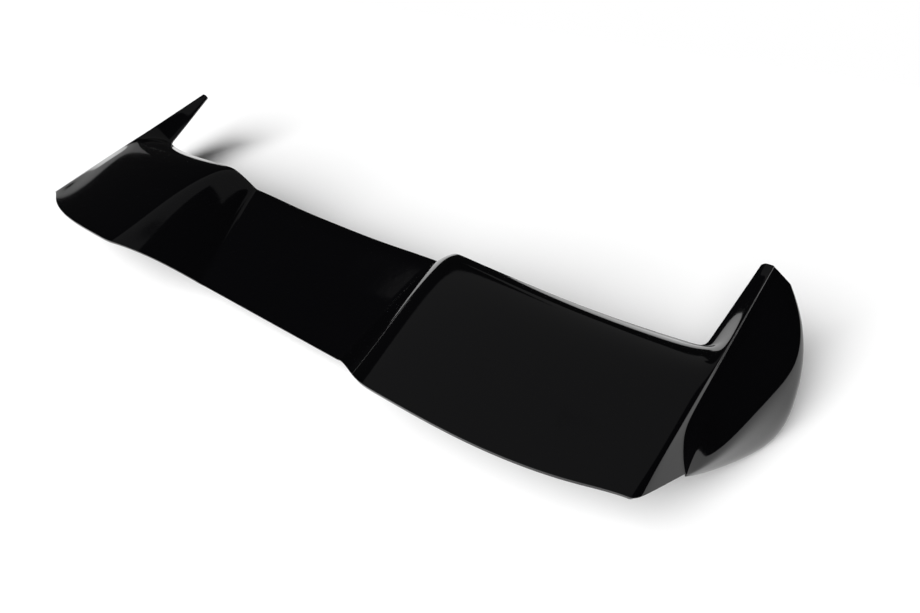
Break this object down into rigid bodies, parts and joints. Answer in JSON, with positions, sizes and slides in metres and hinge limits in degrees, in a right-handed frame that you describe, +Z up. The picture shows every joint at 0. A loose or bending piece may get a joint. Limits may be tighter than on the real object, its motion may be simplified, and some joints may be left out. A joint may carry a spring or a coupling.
{
  "type": "car roof spoiler",
  "caption": "Wide roof spoiler for a hatchback: a thin gloss black shell with a sunken centre, raised outer panels and leaf-shaped ends that reach forward as horns.",
  "frame": {"origin": "the middle of the bonding band on the underside of the front edge, on the middle plane of the car", "axes": "+X across the car to its right-hand side seen in the driving direction, +Y forward in the driving direction, +Z up"},
  "size_m": [1.1734, 0.3447, 0.1319],
  "materials": {
    "gloss_black_abs": "high gloss outside, plain inside"
  },
  "bodies": {
    "root": {"spoiler_shell": "gloss_black_abs"}
  },
  "joints": []
}
